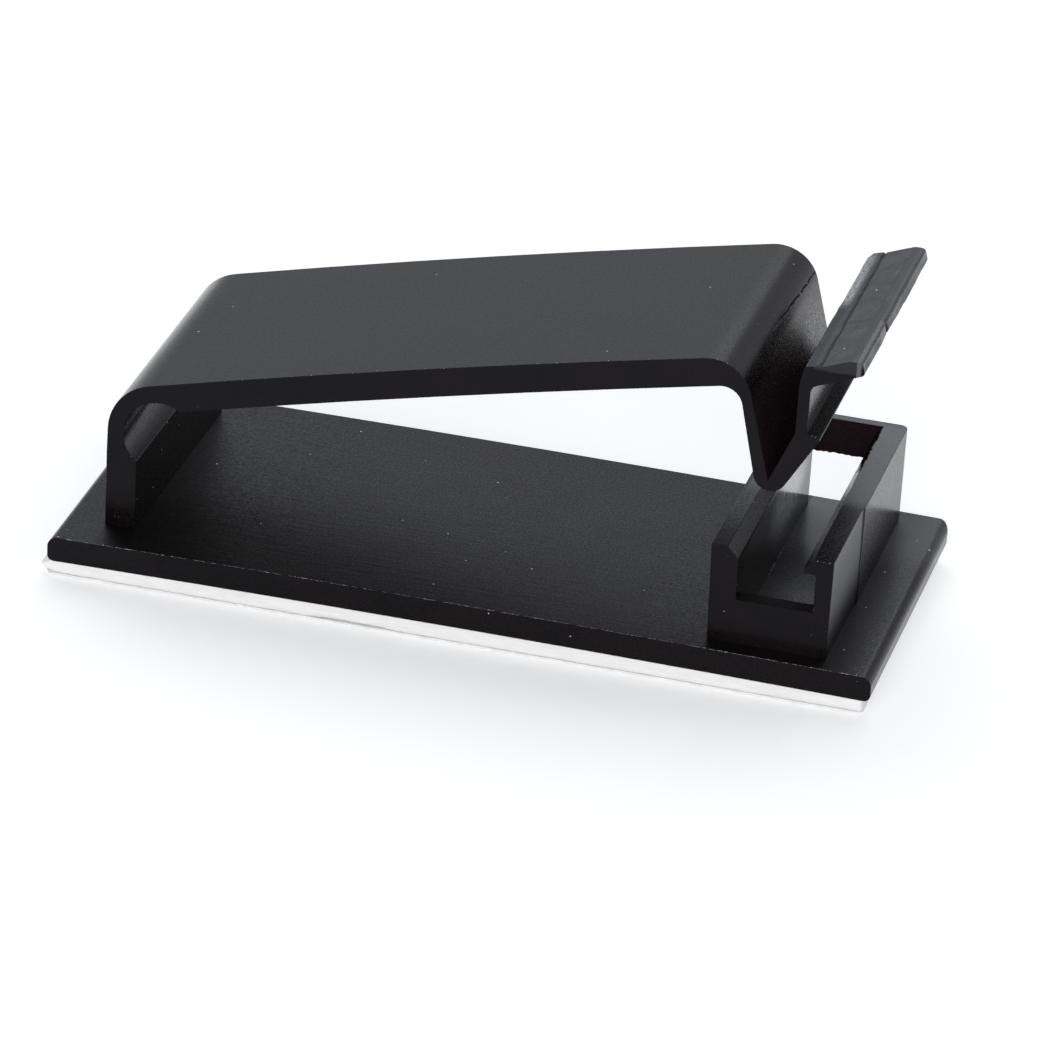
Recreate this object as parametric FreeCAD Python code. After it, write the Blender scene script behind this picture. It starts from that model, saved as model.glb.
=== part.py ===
"""Self-adhesive cable clip: a moulded strap that swings down and latches over the cables.

Millimetres. X runs along the clip from the hinge end to the latch end, Y runs back and Z up.
The origin is the middle of the release liner's underside, on the surface the clip is laid on.
The strap is drawn in its open position, as moulded.
"""
import FreeCAD, Part
import math
import os

from FreeCAD import Vector

# Plate
plate_length = 56.0
plate_width = 25.4
plate_thickness = 1.75
plate_bow = 0.2
plate_top_round = 0.7
plate_bottom_round = 0.45
plate_corner_round = 0.9

# Foam pad and its paper liner
pad_thickness = 0.95
pad_side_inset = 0.2
pad_overhang = 0.5
pad_end_round = 0.6
pad_corner_round = 0.8
liner_thickness = 0.15
liner_end_inset = 0.35

# Upright and the thinned corner that acts as the hinge
upright_inset = 2.87
upright_thickness = 2.0
upright_foot_flare = 0.1
hinge_height = 7.0
hinge_outer_radius = 3.6
hinge_relief_radius = 2.5
hinge_relief_drop = 0.12

# Strap
strap_thickness = 2.0
strap_rise = 14.3
strap_arch = 2.6
strap_end_radius = 2.8
strap_inside_radius = 1.36

# V-shaped latch that hangs from the strap's end
latch_depth = 8.55
latch_root_round = 0.06
latch_nose_radius = 1.13
leg_angle = 13.0
leg_taper = 1.6
leg_foot_thickness = 0.87
barb_angle = 30.2
barb_height = 3.6
barb_reach = 0.92
barb_ledge_fall = 0.3
barb_tip_round = 0.1
barb_ledge_round = 0.05
web_foot_height = 3.75
web_foot_angle = 22.2
web_foot_round = 0.15
web_thickness = 0.78
web_height = 3.45
web_top_round = 0.3
web_fillet = 0.6

# Thumb tab on top of the latch
tab_shoulder_run = 0.42
tab_shoulder_height = 1.28
tab_shoulder_width = 0.78
tab_shoulder_rise = 16.0
tab_shoulder_round = 0.22
tab_groove_width = 0.2
tab_groove_depth = 0.12
tab_groove_step = 0.05
tab_groove_round = 0.03
tab_rise = 21.0
tab_slope_width = 1.98
tab_crest_round = 0.9
tab_brow_width = 0.75
tab_brow_rise = 2.0
tab_end_slope = 15.0
tab_end_round = 0.28
tab_under_rise = 20.7

# Catch that takes the latch
catch_end_inset = 3.36
catch_front_inset = 1.5
catch_back_inset = 1.15
catch_height = 6.85
catch_opening = 5.15
catch_left_wall = 1.68
catch_left_lean = 0.22
catch_right_wall = 1.17
catch_corner_round = 0.6
catch_lead_in_depth = 0.85
catch_lead_in_width = 0.77
catch_lead_in_round = 0.3
catch_edge_round = 0.05
catch_step = 0.1
catch_step_place = 9.0
lip_depth = 0.88
lip_height = 1.05
lip_edge = 0.28
lip_flat = 0.3
lip_undercut = 0.06
lip_edge_round = 0.04
sill_thickness = 1.25
sill_height = 3.1
bar_thickness = 0.7
bar_height = 2.6

# Running clearances
latch_side_clearance = 0.45
barb_wall_clearance = 0.8

# Ejector pin witness marks on the plate's front face
ejector_diameter = 0.95
ejector_ring = 0.1
ejector_depth = 0.03
ejector_inset_left = 1.65
ejector_inset_right = 1.15
ejector_lift = 0.15

# How far a feature is sunk into its neighbour so that the two fuse
weld = 0.6

# Levels, measured up from the liner's underside
liner_top = liner_thickness
plate_bottom = liner_top + pad_thickness

# Ends of the plate
plate_left = -plate_length / 2
plate_right = plate_length / 2
plate_front = -plate_width / 2
plate_back = plate_width / 2
pad_front = plate_front + pad_side_inset
pad_back = plate_back - pad_side_inset


def direction(angle):
    """Unit vector in the XZ plane, its angle in degrees up from +X."""
    return Vector(math.cos(math.radians(angle)), 0, math.sin(math.radians(angle)))


def crossing(point_a, angle_a, point_b, angle_b):
    """Where two lines in the XZ plane meet, each given by a point and an angle."""
    along_a = direction(angle_a)
    along_b = direction(angle_b)
    gap = point_b - point_a
    spread = along_a.x * along_b.z - along_a.z * along_b.x
    reach = (gap.x * along_b.z - gap.z * along_b.x) / spread
    return point_a + along_a * reach


def rounded_wire(corners):
    """Closed wire through (point, radius) corners, each rounded by a tangent arc."""
    count = len(corners)
    arcs = []
    for index in range(count):
        before = corners[index - 1][0]
        corner, radius = corners[index]
        after = corners[(index + 1) % count][0]
        toward = (before - corner).normalize()
        onward = (after - corner).normalize()
        half = toward.getAngle(onward) / 2
        if radius <= 0 or abs(math.pi / 2 - half) < 1e-6:
            arcs.append((corner, None, corner))
            continue
        tangent = radius / math.tan(half)
        centre_way = (toward + onward).normalize()
        middle = corner + centre_way * (radius / math.sin(half) - radius)
        arcs.append((corner + toward * tangent, middle, corner + onward * tangent))
    edges = []
    for index in range(count):
        start, middle, end = arcs[index]
        if middle is not None:
            edges.append(Part.Arc(start, middle, end).toShape())
        following = arcs[(index + 1) % count][0]
        if (following - end).Length > 1e-5:
            edges.append(Part.makeLine(end, following))
    return Part.Wire(edges)


def extruded(corners, front, back):
    """Solid made by running an XZ outline from y = front to y = back."""
    face = Part.Face(rounded_wire(corners))
    solid = face.extrude(Vector(0, back - front, 0))
    solid.translate(Vector(0, front, 0))
    return solid


def bow_lift(x):
    """How far the plate's slight warp lifts it at x."""
    share = (x - plate_left) / plate_length
    return 4 * plate_bow * share * (1 - share)


def bowed_radius():
    """Radius that rounds a ridge in the middle of the plate into one shallow arc."""
    half_bend = math.atan(2 * plate_bow / (plate_length / 2))
    return 0.94 * plate_length / 2 / math.tan(half_bend)


def plate():
    """Base plate, bowed up a little in the middle, with rounded ends."""
    top = plate_bottom + plate_thickness
    ridge = 2 * plate_bow
    corners = [
        (Vector(plate_left, 0, plate_bottom), plate_bottom_round),
        (Vector(0, 0, plate_bottom + ridge), bowed_radius()),
        (Vector(plate_right, 0, plate_bottom), plate_bottom_round),
        (Vector(plate_right, 0, top), plate_top_round),
        (Vector(0, 0, top + ridge), bowed_radius()),
        (Vector(plate_left, 0, top), plate_top_round),
    ]
    strip = extruded(corners, plate_front, plate_back)
    bounds = Part.makeBox(plate_length, plate_width, 4 * top, Vector(plate_left, plate_front, 0))
    back_edges = [edge for edge in bounds.Edges if edge.BoundBox.YMin > 0 and edge.BoundBox.ZLength > top]
    return strip.common(bounds.makeFillet(plate_corner_round, back_edges))


# Catch, placed from the latch end of the plate
catch_right = plate_right - catch_end_inset
catch_inner_right = catch_right - catch_right_wall
catch_inner_left = catch_inner_right - catch_opening
catch_left = catch_inner_left - catch_left_wall
catch_floor = plate_bottom + plate_thickness + bow_lift(catch_inner_left)
catch_top = catch_floor + catch_height
catch_front = plate_front + catch_front_inset
catch_inner_front = catch_front + sill_thickness
catch_back = plate_back - catch_back_inset
catch_inner_back = catch_back - bar_thickness

# Strap, as wide as fits between the catch's sill and bar
strap_front = catch_inner_front + latch_side_clearance
strap_back = catch_inner_back - latch_side_clearance
strap_width = strap_back - strap_front

# Hinge corner
upright_outer = plate_left + upright_inset
upright_inner = upright_outer + upright_thickness
upright_floor = plate_bottom + plate_thickness + bow_lift(upright_inner)
hinge_centre = Vector(upright_outer + hinge_outer_radius, 0, upright_floor + hinge_height)

# The open latch keeps its barb this far from the catch's hooked wall
barb_tip_x = catch_inner_right - barb_wall_clearance


def leg_x_run(height):
    """Sideways run of the leg's inner face over a height."""
    return height * math.tan(math.radians(leg_angle + leg_taper))


def web_x_run():
    """Sideways run from the V's root to the foot of the web."""
    return web_foot_height * math.tan(math.radians(web_foot_angle))


def latch_points():
    """Corner points of the latch, worked out from the barb's tip and the strap's slope."""
    strap_slope = strap_rise - strap_arch
    root_x = barb_tip_x - barb_reach - web_thickness - web_x_run()

    # Strap top: two tangents that one shallow arc joins
    up_start = hinge_centre + direction(90 + strap_rise) * hinge_outer_radius
    end_x = root_x - leg_x_run(latch_depth)
    middle_x = (up_start.x + end_x - strap_end_radius) / 2
    middle = up_start + direction(strap_rise) * ((middle_x - up_start.x) / direction(strap_rise).x)
    end = middle + direction(strap_slope) * ((end_x - middle_x) / direction(strap_slope).x)
    root = Vector(root_x, 0, end.z - latch_depth)
    return middle, end, root, strap_slope


def strap_and_latch():
    """Upright, hinge corner, strap, latch and thumb tab as one outline run across the strap."""
    middle, end, root, strap_slope = latch_points()

    # Outside of the upright and of the strap
    foot_outer = Vector(upright_outer + upright_foot_flare, 0, upright_floor - weld)
    outer_corner = crossing(Vector(upright_outer, 0, 0), 90, middle, strap_rise)

    # Latch: leg, nose, barb with its ledge, web and tab
    leg_inner = 90 + leg_angle + leg_taper
    leg_outer = 90 + leg_angle
    leg_foot = root + direction(180 + leg_angle) * leg_foot_thickness
    web_left = root.x + web_x_run()
    web_right = web_left + web_thickness
    web_foot = Vector(web_left, 0, root.z + web_foot_height)
    barb_tip = Vector(barb_tip_x, 0, root.z + barb_height)
    ledge_inner = Vector(web_right, 0, barb_tip.z + barb_ledge_fall)
    nose = crossing(leg_foot, leg_outer, barb_tip, 90 - barb_angle)

    # Thumb tab, rising away from the web
    tab_start = Vector(web_left, 0, web_foot.z + web_height)
    tab_under = Vector(web_right, 0, tab_start.z)
    along = direction(tab_shoulder_rise)
    above = direction(tab_shoulder_rise + 90)
    tab_corner = tab_start + Vector(tab_shoulder_run, 0, tab_shoulder_height)
    groove = tab_corner + along * tab_shoulder_width
    groove_low = groove + along * (tab_groove_width / 2) - above * tab_groove_depth
    groove_end = groove + along * tab_groove_width - above * tab_groove_step
    tab_crest = groove_end + direction(tab_rise) * tab_slope_width
    tab_brow = tab_crest + direction(tab_brow_rise) * tab_brow_width
    tab_low_end = crossing(tab_under, tab_under_rise, tab_brow, 90 + tab_end_slope)

    # Underside of the strap
    under_middle_start = middle - direction(strap_rise + 90) * strap_thickness
    under_middle_end = middle - direction(strap_slope + 90) * strap_thickness
    under_middle = crossing(under_middle_start, strap_rise, under_middle_end, strap_slope)
    under_end = crossing(under_middle, strap_slope, leg_foot, leg_outer)
    under_corner = crossing(Vector(upright_inner, 0, 0), 90, under_middle, strap_rise)
    foot_inner = Vector(upright_inner + upright_foot_flare * 2, 0, upright_floor - weld)

    hinge_tangent = hinge_outer_radius * math.tan(math.radians(45 - strap_rise / 2))
    arch_reach = 0.98 * ((middle - outer_corner).Length - hinge_tangent)
    arch_radius = arch_reach / math.tan(math.radians(strap_arch / 2))
    corners = [
        (foot_outer, 0),
        (Vector(upright_outer, 0, hinge_centre.z - hinge_outer_radius / 2), 0),
        (outer_corner, hinge_outer_radius),
        (middle, arch_radius),
        (end, strap_end_radius),
        (root, latch_root_round),
        (web_foot, web_foot_round),
        (tab_start, web_top_round),
        (tab_corner, tab_shoulder_round),
        (groove, tab_groove_round),
        (groove_low, 0),
        (groove_end, tab_groove_round),
        (tab_crest, tab_crest_round),
        (tab_brow, tab_end_round),
        (tab_low_end, tab_end_round),
        (tab_under, web_fillet),
        (ledge_inner, barb_ledge_round),
        (barb_tip, barb_tip_round),
        (nose, latch_nose_radius),
        (under_end, strap_inside_radius),
        (under_middle, arch_radius - strap_thickness),
        (under_corner, 0),
        (foot_inner, 0),
    ]
    body = extruded(corners, strap_front, strap_back)

    # Round relief bored through the inside of the corner, which thins it into the hinge
    start = Vector(hinge_centre.x, strap_front - 1, hinge_centre.z - hinge_relief_drop)
    relief = Part.makeCylinder(hinge_relief_radius, strap_width + 2, start, Vector(0, 1, 0))
    return body.cut(relief)


def left_wall():
    """Plain wall of the catch, leaning out a little, with a lead-in at its top."""
    corners = [
        (Vector(catch_left, 0, catch_floor - weld), 0),
        (Vector(catch_inner_left, 0, catch_floor - weld), 0),
        (Vector(catch_inner_left, 0, catch_top - catch_lead_in_depth), catch_lead_in_round),
        (Vector(catch_inner_left - catch_lead_in_width, 0, catch_top), catch_edge_round),
        (Vector(catch_left - catch_left_lean, 0, catch_top), catch_edge_round),
    ]
    return extruded(corners, catch_front, catch_back)


def right_wall():
    """Hooked wall of the catch: a sloped lip that the barb snaps under."""
    lip_tip = catch_inner_right - lip_depth
    lip_bottom = catch_top - lip_height
    corners = [
        (Vector(catch_inner_right, 0, catch_floor - weld), 0),
        (Vector(catch_right, 0, catch_floor - weld), 0),
        (Vector(catch_right, 0, catch_top), catch_edge_round),
        (Vector(catch_inner_right - lip_flat, 0, catch_top), catch_edge_round),
        (Vector(lip_tip, 0, lip_bottom + lip_edge), lip_edge_round),
        (Vector(lip_tip + lip_undercut, 0, lip_bottom), lip_edge_round),
        (Vector(catch_inner_right, 0, lip_bottom), catch_edge_round),
    ]
    return extruded(corners, catch_front, catch_back)


def wall_thickening():
    """Shallow step on the outside of the hooked wall, left by the mould's insert."""
    step_front = catch_front + catch_step_place
    return Part.makeBox(
        catch_step + weld,
        catch_back - step_front,
        catch_height + weld,
        Vector(catch_right - weld, step_front, catch_floor - weld),
    )


def sill():
    """Low front wall of the catch."""
    return Part.makeBox(
        catch_opening + 2 * weld,
        sill_thickness,
        sill_height + weld,
        Vector(catch_inner_left - weld, catch_front, catch_floor - weld),
    )


def bar():
    """Bar across the top of the catch's back, over an open window."""
    return Part.makeBox(
        catch_opening + 2 * weld,
        bar_thickness,
        bar_height,
        Vector(catch_inner_left - weld, catch_inner_back, catch_top - bar_height),
    )


def round_back_corners(catch):
    """Round the catch's two upright back corners."""
    edges = []
    for edge in catch.Edges:
        box = edge.BoundBox
        at_back = box.YMin > catch_back - 1e-3
        outside = box.XMax < catch_left + 1e-3 or box.XMin > catch_right - 1e-3
        if at_back and outside and box.ZLength > catch_height:
            edges.append(edge)
    return catch.makeFillet(catch_corner_round, edges)


def catch():
    """The whole catch."""
    walls = left_wall().fuse([right_wall(), wall_thickening(), sill(), bar()])
    return round_back_corners(walls.removeSplitter())


def ejector_mark(x):
    """Ring left by an ejector pin, sunk into the plate's front face at x."""
    height = plate_bottom + plate_thickness / 2 + bow_lift(x) + ejector_lift
    start = Vector(x, plate_front - ejector_depth, height)
    outer = Part.makeCylinder(ejector_diameter / 2, 2 * ejector_depth, start, Vector(0, 1, 0))
    inner_radius = ejector_diameter / 2 - ejector_ring
    inner = Part.makeCylinder(inner_radius, 2 * ejector_depth, start, Vector(0, 1, 0))
    return outer.cut(inner)


def clip_body():
    """The one-piece moulding."""
    body = plate().fuse([strap_and_latch(), catch()]).removeSplitter()
    marks = [ejector_mark(plate_left + ejector_inset_left), ejector_mark(plate_right - ejector_inset_right)]
    return body.cut(marks)


def rounded_sheet(left, right, front, back, bottom, height, radius):
    """Flat slab whose four upright edges are rounded."""
    slab = Part.makeBox(right - left, back - front, height, Vector(left, front, bottom))
    upright_edges = [edge for edge in slab.Edges if edge.BoundBox.ZLength > height / 2]
    return slab.makeFillet(radius, upright_edges)


def foam_pad():
    """Foam tape: follows the plate's bow on top and lies flat on its liner."""
    left = plate_left - pad_overhang
    right = plate_right - pad_overhang
    slope = 2 * plate_bow / (plate_length / 2)
    corners = [
        (Vector(left, 0, liner_top), pad_end_round),
        (Vector(right, 0, liner_top), 0),
        (Vector(right, 0, plate_bottom + slope * (plate_right - right)), 0),
        (Vector(0, 0, plate_bottom + 2 * plate_bow), bowed_radius()),
        (Vector(left, 0, plate_bottom + slope * (left - plate_left)), 0.1),
    ]
    strip = extruded(corners, pad_front, pad_back)
    outline = rounded_sheet(left, right, pad_front, pad_back, liner_top, 4 * pad_thickness, pad_corner_round)
    return strip.common(outline)


def release_liner():
    """Paper liner under the foam."""
    left = plate_left - pad_overhang + liner_end_inset
    right = plate_right - pad_overhang
    return rounded_sheet(left, right, pad_front, pad_back, 0, liner_thickness, pad_corner_round)


part_nodes = {
    "clip_body": clip_body(),
    "foam_pad": foam_pad(),
    "release_liner": release_liner(),
}

os.makedirs("parts", exist_ok=True)
for name, shape in part_nodes.items():
    shape.exportStep("parts/" + name + ".step")
    print(name, shape.isValid(), len(shape.Solids), len(shape.Faces), shape.BoundBox, round(shape.Volume, 2))
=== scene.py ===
"""Self-adhesive cable clip: satin black moulding, white foam tape and its paper liner."""
import math

import bmesh
import bpy
from mathutils import Matrix, Vector, noise
from mathutils.bvhtree import BVHTree


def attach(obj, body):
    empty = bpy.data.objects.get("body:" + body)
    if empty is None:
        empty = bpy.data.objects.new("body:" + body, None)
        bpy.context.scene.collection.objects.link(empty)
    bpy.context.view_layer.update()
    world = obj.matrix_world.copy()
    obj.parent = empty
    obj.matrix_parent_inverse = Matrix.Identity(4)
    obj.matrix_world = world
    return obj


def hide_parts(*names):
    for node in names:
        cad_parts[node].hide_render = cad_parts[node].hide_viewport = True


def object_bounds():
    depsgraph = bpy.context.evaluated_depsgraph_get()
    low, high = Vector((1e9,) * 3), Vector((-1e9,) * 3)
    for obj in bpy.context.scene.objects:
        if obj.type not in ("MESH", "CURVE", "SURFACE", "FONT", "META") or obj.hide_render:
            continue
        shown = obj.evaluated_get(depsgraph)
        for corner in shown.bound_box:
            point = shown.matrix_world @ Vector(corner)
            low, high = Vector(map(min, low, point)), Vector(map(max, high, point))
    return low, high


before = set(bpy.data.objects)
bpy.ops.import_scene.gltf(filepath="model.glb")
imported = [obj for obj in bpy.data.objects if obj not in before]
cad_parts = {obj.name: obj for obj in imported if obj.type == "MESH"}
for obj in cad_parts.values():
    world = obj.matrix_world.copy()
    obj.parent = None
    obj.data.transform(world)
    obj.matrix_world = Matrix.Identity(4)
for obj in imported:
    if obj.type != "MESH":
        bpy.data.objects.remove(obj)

bl_info = {
    "name": "Adhesive Cable Clip",
    "version": (1, 0, 0),
    "blender": (4, 5, 0),
    "location": "3D View > Sidebar > Cable Clip",
    "description": "Dresses a moulded cable clip with its foam tape, liner and a plain studio",
    "category": "Object",
}

CAD_BOX = [list(corner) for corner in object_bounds()]
MM = 0.001

# How much the grain changes the gloss, and how many times lighter than the body its clouds
# are, and how many times lighter the deep inner faces are painted as fill light
GLOSS_CHANGE = 0.7
CLOUD_TONE = 1.7
INNER_PAINTED_FILL = 8

# How far each painted highlight, sheen, glare and lit patch lightens its place, from 0 to 1.
# Pairs go from front to back.
SHOULDER_PAINTED_GLARE = (0.85, 0.62)
CREST_PAINTED_HIGHLIGHT = 0.06
TAB_PAINTED_SHEEN = 0.03
CATCH_WALL_PAINTED_SHEEN = (0.135, 0.06)
CATCH_FLOOR_PAINTED_LIGHT = 0.11
CATCH_RIM_PAINTED_HIGHLIGHT = 0.14
PLATE_PAINTED_SHEEN = 0.045
LEG_PAINTED_HIGHLIGHT = 0.72

# Strength of each bump, and its depth in millimetres
GRAIN_RELIEF = (0.2, 0.03)
LINE_RELIEF = (0.9, 0.02)
SCUFF_RELIEF = (0.6, 0.03)
CREASE_RELIEF = (1.0, 0.06)
FOAM_RELIEF = (0.5, 0.04)
PAPER_RELIEF = (0.3, 0.02)
FOAM_CELL = 0.13 * MM

# The floor's own glow, seen directly and in the clip's skin, and the cool light of the room
FLOOR_REACH = 3.0
FLOOR_GLOW = 0.38
FLOOR_GLOW_MIRRORED = 0.3
ROOM_TINT = (0.91, 0.94, 1.0, 1)
WHITE = (1, 1, 1, 1)

# Lamps: name, place and width in metres, watts and colour
LAMPS = (
    ("lamp_back_top", (-0.2, 0.7, 0.85), 0.9, 5.0, (0.92, 0.95, 1.0)),
    ("lamp_right", (0.7, 0.3, 0.3), 0.4, 0.6, WHITE[:3]),
    ("lamp_front", (0.1, -0.9, 0.3), 0.7, 7.0, WHITE[:3]),
)

# Places on the moulding, in millimetres. The strap's line is the top of its front face.
CATCH_X = (17.5, 24.0)
SLOT_X = (18.2, 23.6)
STRAP_FRONT_Y = -9.47
BASE_FRONT_Y = -12.685
RING_Z = (1.6, 2.7)
RING_FLOOR_Y = -12.688
TAB_LOW = (20.9, -9.6, 21.29)
TAB_HIGH = (25.6, 10.5, 23.6)
TAB_ROOT_Z = 21.3
NICK_Y = -2.34
STRAP_TOP_LINE = (
    (-19.04, 14.25), (-13.01, 15.74), (-6.98, 17.18), (-0.93, 18.58), (5.13, 19.93), (11.2, 21.23),
)

# The tape, in millimetres
FOAM_ENDS = (-28.5, 27.5)
LINER_ENDS = (-28.15, 27.5)
LINER_TOP = 0.15
TAPE_HALF_WIDTH = 12.5

# How close counts as touching in millimetres, and the angles that part flat from sharp
CLOSE = 1e-4
FLAT_WITHIN = math.radians(0.12)
SHARP_OVER = math.radians(28)


class ClipFinish(bpy.types.PropertyGroup):
    """Colours and surface of the black moulding."""

    body_colour: bpy.props.FloatVectorProperty(
        name="Body colour", description="Colour of the moulded plastic", subtype="COLOR",
        size=4, min=0, max=1, default=(0.0023, 0.0013, 0.0015, 1),
    )
    # Painted glints: the pale specks and the burrs take this colour
    speck_glint_colour: bpy.props.FloatVectorProperty(
        name="Speck colour", description="Colour of the tiny pale specks", subtype="COLOR",
        size=4, min=0, max=1, default=(0.5, 0.51, 0.54, 1),
    )
    # Painted light: this colour is laid on the skin as painted highlights, sheen, glare and lit
    # patches
    painted_light_colour: bpy.props.FloatVectorProperty(
        name="Bloom colour", description="Colour of the whitish bloom on the tab", subtype="COLOR",
        size=4, min=0, max=1, default=(0.74, 0.75, 0.77, 1),
    )
    roughness: bpy.props.FloatProperty(
        name="Roughness", description="Base roughness of the satin skin",
        subtype="FACTOR", min=0, max=1, default=0.24,
    )
    specular: bpy.props.FloatProperty(
        name="Shine", description="Strength of the reflections", subtype="FACTOR",
        min=0, max=1, default=0.15,
    )
    sheen_colour: bpy.props.FloatVectorProperty(
        name="Sheen colour", description="Cool tone of the satin sheen", subtype="COLOR",
        size=4, min=0, max=1, default=(0.925, 0.935, 1, 1),
    )
    grain_size: bpy.props.FloatProperty(
        name="Grain size", description="Size of one grain of the moulded skin",
        unit="LENGTH", min=1e-5, default=0.00016,
    )
    edge_round: bpy.props.FloatProperty(
        name="Edge rounding", description="Width of the softened edges",
        unit="LENGTH", min=0, default=0.00005,
    )


class ClipTape(bpy.types.PropertyGroup):
    """Sizes and colours of the foam tape and its liner."""

    foam_colour: bpy.props.FloatVectorProperty(
        name="Foam colour", description="Colour of the foam tape", subtype="COLOR",
        size=4, min=0, max=1, default=(0.94, 0.93, 0.928, 1),
    )
    liner_colour: bpy.props.FloatVectorProperty(
        name="Liner colour", description="Colour of the paper liner", subtype="COLOR",
        size=4, min=0, max=1, default=(0.92, 0.915, 0.91, 1),
    )
    foam_waviness: bpy.props.FloatProperty(
        name="Foam waviness", description="How far the cut foam edge wanders in and out",
        unit="LENGTH", min=0, default=0.00005,
    )


class ClipStage(bpy.types.PropertyGroup):
    """Camera, floor and light."""

    lens: bpy.props.FloatProperty(
        name="Lens", description="Focal length on a 36 mm sensor", unit="CAMERA", min=10,
        default=245.05,
    )
    azimuth: bpy.props.FloatProperty(
        name="Azimuth", description="Camera's turn to the right of straight ahead",
        subtype="ANGLE", default=math.radians(13.002),
    )
    elevation: bpy.props.FloatProperty(
        name="Elevation", description="Camera's height angle", subtype="ANGLE",
        default=math.radians(25.595),
    )
    roll: bpy.props.FloatProperty(
        name="Roll", description="Camera's turn about its own axis", subtype="ANGLE",
        default=math.radians(3.942),
    )
    place: bpy.props.FloatVectorProperty(
        name="Camera place", description="Where the camera stands", subtype="XYZ", unit="LENGTH",
        size=3, default=(0.098491, -0.420461, 0.210044),
    )
    floor_colour: bpy.props.FloatVectorProperty(
        name="Floor colour", description="Colour of the plain floor", subtype="COLOR",
        size=4, min=0, max=1, default=(0.8, 0.8, 0.8, 1),
    )
    backdrop: bpy.props.FloatProperty(
        name="Backdrop", description="Brightness of the room behind the clip", min=0, default=0.72,
    )
    room: bpy.props.FloatProperty(
        name="Room", description="Brightness of the room in front of the clip", min=0, default=0.24,
    )


def in_metres(point_mm):
    """A point given in millimetres, as a Vector in metres."""
    return Vector(point_mm) * MM


# Shader helpers

def new_group(name, inputs, outputs):
    """An empty shader node group with named sockets, and its input and output nodes."""
    group = bpy.data.node_groups.new(name, "ShaderNodeTree")
    for label, kind, value in inputs:
        socket = group.interface.new_socket(label, in_out="INPUT", socket_type=kind)
        if value is not None:
            socket.default_value = value
    for label, kind in outputs:
        group.interface.new_socket(label, in_out="OUTPUT", socket_type=kind)
    start = group.nodes.new("NodeGroupInput")
    end = group.nodes.new("NodeGroupOutput")
    start.location = (-900, 0)
    end.location = (700, 0)
    return group, start, end


def wire(tree, source, target):
    """Link two sockets."""
    tree.links.new(source, target)


def feed(tree, value, socket):
    """Link another node's output to an input, or give the input a plain value."""
    if hasattr(value, "is_output"):
        wire(tree, value, socket)
    else:
        socket.default_value = value


def maths(tree, operation, first, second=None, clamp=False):
    """A Math node whose inputs are sockets or numbers. Returns its output."""
    node = tree.nodes.new("ShaderNodeMath")
    node.operation = operation
    node.use_clamp = clamp
    for index, value in enumerate((first, second)):
        if value is not None:
            feed(tree, value, node.inputs[index])
    return node.outputs[0]


def combined(tree, operation, values):
    """Several sockets or numbers taken together by one Math operation."""
    result = values[0]
    for value in values[1:]:
        result = maths(tree, operation, result, value)
    return result


def axes(tree, vector):
    """X, Y and Z of a vector socket."""
    node = tree.nodes.new("ShaderNodeSeparateXYZ")
    wire(tree, vector, node.inputs[0])
    return [node.outputs[axis] for axis in "XYZ"]


def between(tree, value, low, high, out_low=0.0, out_high=1.0):
    """Smooth step of a value from low to high."""
    node = tree.nodes.new("ShaderNodeMapRange")
    node.interpolation_type = "SMOOTHSTEP"
    wire(tree, value, node.inputs["Value"])
    node.inputs["From Min"].default_value = low
    node.inputs["From Max"].default_value = high
    node.inputs["To Min"].default_value = out_low
    node.inputs["To Max"].default_value = out_high
    return node.outputs["Result"]


def noise_value(tree, vector, scale, detail=2.0, roughness=0.5):
    """Noise texture's value. The scale is a socket or a number."""
    node = tree.nodes.new("ShaderNodeTexNoise")
    node.inputs["Detail"].default_value = detail
    node.inputs["Roughness"].default_value = roughness
    feed(tree, scale, node.inputs["Scale"])
    wire(tree, vector, node.inputs["Vector"])
    return node.outputs["Fac"]


def stretched(tree, vector, scale):
    """Coordinates scaled unevenly along X, Y and Z."""
    node = tree.nodes.new("ShaderNodeVectorMath")
    node.operation = "MULTIPLY"
    wire(tree, vector, node.inputs[0])
    node.inputs[1].default_value = scale
    return node.outputs[0]


def grain_group():
    """Fine moulded grain: a height, a cloudy tone and a change of gloss."""
    group, start, end = new_group(
        "Moulded Grain",
        [("Vector", "NodeSocketVector", None), ("Size", "NodeSocketFloat", 0.16 * MM)],
        [("Height", "NodeSocketFloat"), ("Cloud", "NodeSocketFloat"),
         ("Gloss Change", "NodeSocketFloat")],
    )
    vector = start.outputs["Vector"]
    scale = maths(group, "DIVIDE", 1.0, start.outputs["Size"])
    fine = noise_value(group, vector, scale, 3.0, 0.6)
    wire(group, fine, end.inputs["Height"])
    wire(group, noise_value(group, vector, 260.0, 4.0, 0.6), end.inputs["Cloud"])
    change = maths(group, "MULTIPLY", maths(group, "SUBTRACT", fine, 0.5), GLOSS_CHANGE)
    wire(group, change, end.inputs["Gloss Change"])
    return group


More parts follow.
